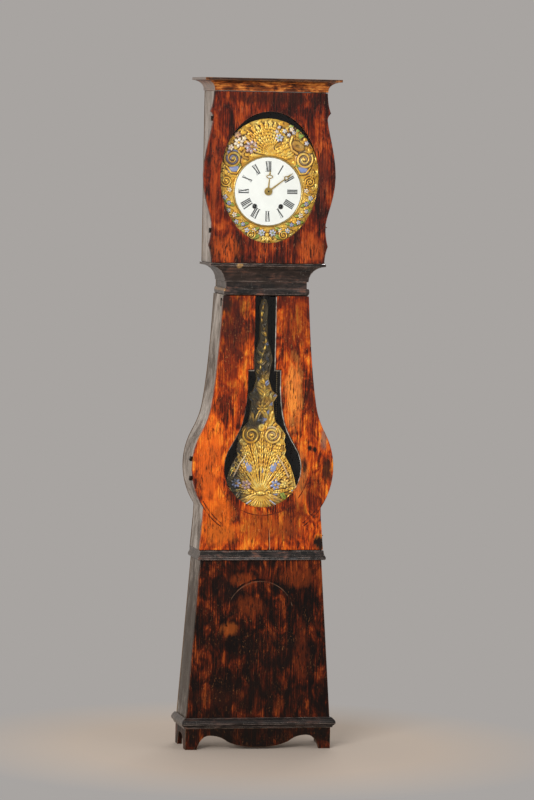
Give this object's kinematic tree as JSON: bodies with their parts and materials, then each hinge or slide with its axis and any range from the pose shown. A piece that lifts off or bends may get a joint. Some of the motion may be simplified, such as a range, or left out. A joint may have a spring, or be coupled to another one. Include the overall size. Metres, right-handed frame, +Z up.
{
  "type": "comtoise longcase clock",
  "caption": "Tall weight-driven pendulum clock in a violin-fronted softwood case with a glazed hood, a pressed brass dial surround and a large ornamental pendulum",
  "frame": {"origin": "on the floor at the middle of the bounding box's bottom", "axes": "+Z up, the front and its dial face -Y, +X to the right seen from the front"},
  "size_m": [0.5476, 0.242, 2.33],
  "materials": {
    "dark_pine": "near-black brown stained and waxed softwood, worn",
    "moulding_pine": "near-black stained softwood mouldings with worn reddish edges",
    "side_pine": "greyed, weathered softwood side boards",
    "bare_pine": "unfinished softwood",
    "trunk_pine": "orange red-brown mottled stain and wax on softwood",
    "hood_pine": "dark red-brown streaked stain and wax on softwood",
    "window_glass": "thin clear window glass",
    "pressed_brass": "thin pressed brass sheet, lacquered and partly tinted",
    "dial_enamel": null,
    "wheel_brass": "cast and cut brass, lightly tarnished",
    "bell_bronze": "turned bell metal",
    "steel": "filed and polished steel",
    "wrought_iron": "dark forged iron",
    "cast_iron": "rough cast iron",
    "hemp_line": "laid hemp line"
  },
  "bodies": {
    "case": {"plinth_apron": "dark_pine", "base_moulding": "moulding_pine", "lower_front_panel": "dark_pine", "lower_left_side": "side_pine", "lower_right_side": "side_pine", "lower_floor_board": "bare_pine", "lower_back_board": "bare_pine", "waist_moulding": "moulding_pine", "trunk_left_side": "side_pine", "trunk_right_side": "side_pine", "trunk_back_board": "bare_pine", "neck_frame": "moulding_pine", "neck_astragal": "moulding_pine", "neck_cove": "moulding_pine", "hood_left_side": "side_pine", "hood_right_side": "side_pine", "hood_back_board": "bare_pine", "hood_top_board": "bare_pine", "cornice": "moulding_pine", "seat_board": "bare_pine", "trunk_upper_pintle": "wrought_iron", "trunk_lower_pintle": "wrought_iron", "hood_upper_pintle": "wrought_iron", "hood_lower_pintle": "wrought_iron", "dial_surround": "pressed_brass", "dial_enamel": "dial_enamel", "cage_frame": "wrought_iron", "front_bars": "wrought_iron", "going_rope": "hemp_line", "strike_rope": "hemp_line", "bell": "bell_bronze"},
    "trunk_door_leaf": {"trunk_door": "trunk_pine", "trunk_glass": "window_glass", "trunk_upper_hinge_eye": "wrought_iron", "trunk_lower_hinge_eye": "wrought_iron"},
    "hood_door_leaf": {"hood_door": "hood_pine", "hood_glass": "window_glass", "hood_upper_hinge_eye": "wrought_iron", "hood_lower_hinge_eye": "wrought_iron"},
    "trunk_upper_hook_arm": {"trunk_upper_hook": "wrought_iron"},
    "trunk_lower_hook_arm": {"trunk_lower_hook": "wrought_iron"},
    "hood_hook_arm": {"hood_hook": "wrought_iron"},
    "minute_hand_arbor": {"minute_hand": "pressed_brass"},
    "hour_hand_pipe": {"hour_hand": "pressed_brass"},
    "motion_arbor": {"motion_wheel": "wheel_brass"},
    "second_arbor": {"going_second_wheel": "wheel_brass"},
    "great_wheel": {"going_great_wheel": "wheel_brass"},
    "third_arbor": {"going_third_wheel": "wheel_brass"},
    "escape_arbor": {"escape_wheel": "wheel_brass"},
    "pendulum": {"pendulum_rod": "wrought_iron", "pendulum_plate": "pressed_brass"},
    "anchor_arbor": {"anchor": "steel"},
    "going_weight_body": {"going_weight": "cast_iron"},
    "going_drum_arbor": {"going_drum": "steel"},
    "strike_weight_body": {"strike_weight": "cast_iron"},
    "strike_drum_arbor": {"strike_drum": "steel"},
    "pin_arbor": {"strike_pin_wheel": "wheel_brass"},
    "strike_great": {"strike_great_wheel": "wheel_brass"},
    "fly_arbor": {"strike_fly": "wheel_brass"},
    "hammer_arbor": {"hammer": "steel"}
  },
  "joints": [
    {"name": "trunk_door_hinge", "type": "hinge", "parent": "case", "child": "trunk_door_leaf", "pos_m": [-0.2543, -0.0415, 0.983], "axis": [0, 0, -1], "range_deg": [0, 110]},
    {"name": "hood_door_hinge", "type": "hinge", "parent": "case", "child": "hood_door_leaf", "pos_m": [-0.2052, -0.0575, 1.99], "axis": [0, 0, -1], "range_deg": [0, 100]},
    {"name": "trunk_upper_hook_swing", "type": "hinge", "parent": "case", "child": "trunk_upper_hook_arm", "pos_m": [-0.1545, -0.03, 1.567], "axis": [1, 0, 0], "range_deg": [0, 270]},
    {"name": "trunk_lower_hook_swing", "type": "hinge", "parent": "case", "child": "trunk_lower_hook_arm", "pos_m": [0.218, -0.03, 0.75], "axis": [1, 0, 0], "range_deg": [0, 270]},
    {"name": "hood_hook_swing", "type": "hinge", "parent": "case", "child": "hood_hook_arm", "pos_m": [0.206, -0.046, 1.823], "axis": [1, 0, 0], "range_deg": [0, 270]},
    {"name": "minute_hand_turn", "type": "hinge", "parent": "case", "child": "minute_hand_arbor", "pos_m": [0, -0.04, 1.941], "axis": [0, 1, 0], "continuous": true},
    {"name": "hour_hand_turn", "type": "hinge", "parent": "case", "child": "hour_hand_pipe", "pos_m": [0, -0.04, 1.941], "axis": [0, 1, 0], "continuous": true},
    {"name": "motion_wheel_turn", "type": "hinge", "parent": "case", "child": "motion_arbor", "pos_m": [0, -0.031, 1.912], "axis": [0, 1, 0], "continuous": true},
    {"name": "second_wheel_turn", "type": "hinge", "parent": "case", "child": "second_arbor", "pos_m": [0.046, 0.03, 1.9356], "axis": [0, 1, 0], "continuous": true},
    {"name": "great_wheel_turn", "type": "hinge", "parent": "case", "child": "great_wheel", "pos_m": [0.046, 0.0095, 1.889], "axis": [0, 1, 0], "continuous": true},
    {"name": "third_wheel_turn", "type": "hinge", "parent": "case", "child": "third_arbor", "pos_m": [0, 0.03, 1.945], "axis": [0, 1, 0], "continuous": true},
    {"name": "escape_wheel_turn", "type": "hinge", "parent": "case", "child": "escape_arbor", "pos_m": [0, 0.03, 1.9709], "axis": [0, 1, 0], "continuous": true},
    {"name": "pendulum_swing", "type": "hinge", "parent": "case", "child": "pendulum", "pos_m": [0, -0.018, 2.006], "axis": [0, 1, 0], "range_deg": [-3, 3]},
    {"name": "anchor_rock", "type": "hinge", "parent": "case", "child": "anchor_arbor", "pos_m": [0, 0.03, 2.006], "axis": [0, 1, 0], "range_deg": [-3, 3]},
    {"name": "going_weight_run", "type": "slide", "parent": "case", "child": "going_weight_body", "axis": [0, 0, 1], "range_m": [0, 1.36], "deforming": ["going_rope"]},
    {"name": "going_drum_turn", "type": "hinge", "parent": "case", "child": "going_drum_arbor", "pos_m": [0.046, 0.04, 1.889], "axis": [0, 1, 0], "range_deg": [-4149.8, 0]},
    {"name": "strike_weight_run", "type": "slide", "parent": "case", "child": "strike_weight_body", "axis": [0, 0, 1], "range_m": [0, 1.36], "deforming": ["strike_rope"]},
    {"name": "strike_drum_turn", "type": "hinge", "parent": "case", "child": "strike_drum_arbor", "pos_m": [-0.046, 0.04, 1.889], "axis": [0, 1, 0], "range_deg": [0, 4149.8]},
    {"name": "pin_wheel_turn", "type": "hinge", "parent": "case", "child": "pin_arbor", "pos_m": [-0.046, 0.03, 1.9356], "axis": [0, 1, 0], "continuous": true},
    {"name": "strike_great_turn", "type": "hinge", "parent": "case", "child": "strike_great", "pos_m": [-0.046, 0.0095, 1.889], "axis": [0, 1, 0], "continuous": true},
    {"name": "fly_turn", "type": "hinge", "parent": "case", "child": "fly_arbor", "pos_m": [-0.046, 0.04, 1.975], "axis": [0, 1, 0], "continuous": true},
    {"name": "hammer_lift", "type": "hinge", "parent": "case", "child": "hammer_arbor", "pos_m": [-0.092, 0.047, 2.068], "axis": [0, -1, 0], "range_deg": [0, 25]}
  ],
  "couplings": [
    {"joint": "hour_hand_turn", "follows": "minute_hand_turn", "ratio": 0.083333},
    {"joint": "motion_wheel_turn", "follows": "minute_hand_turn", "ratio": -0.33333},
    {"joint": "second_wheel_turn", "follows": "minute_hand_turn", "ratio": -1},
    {"joint": "great_wheel_turn", "follows": "minute_hand_turn", "ratio": 0.083333},
    {"joint": "third_wheel_turn", "follows": "minute_hand_turn", "ratio": 7.5},
    {"joint": "escape_wheel_turn", "follows": "minute_hand_turn", "ratio": -57.188},
    {"joint": "anchor_rock", "follows": "pendulum_swing", "ratio": 1},
    {"joint": "going_drum_turn", "follows": "going_weight_run", "rad_per_m": -53.191},
    {"joint": "strike_drum_turn", "follows": "strike_weight_run", "rad_per_m": 53.191},
    {"joint": "strike_great_turn", "follows": "pin_wheel_turn", "ratio": -0.083333},
    {"joint": "fly_turn", "follows": "pin_wheel_turn", "ratio": -10}
  ]
}
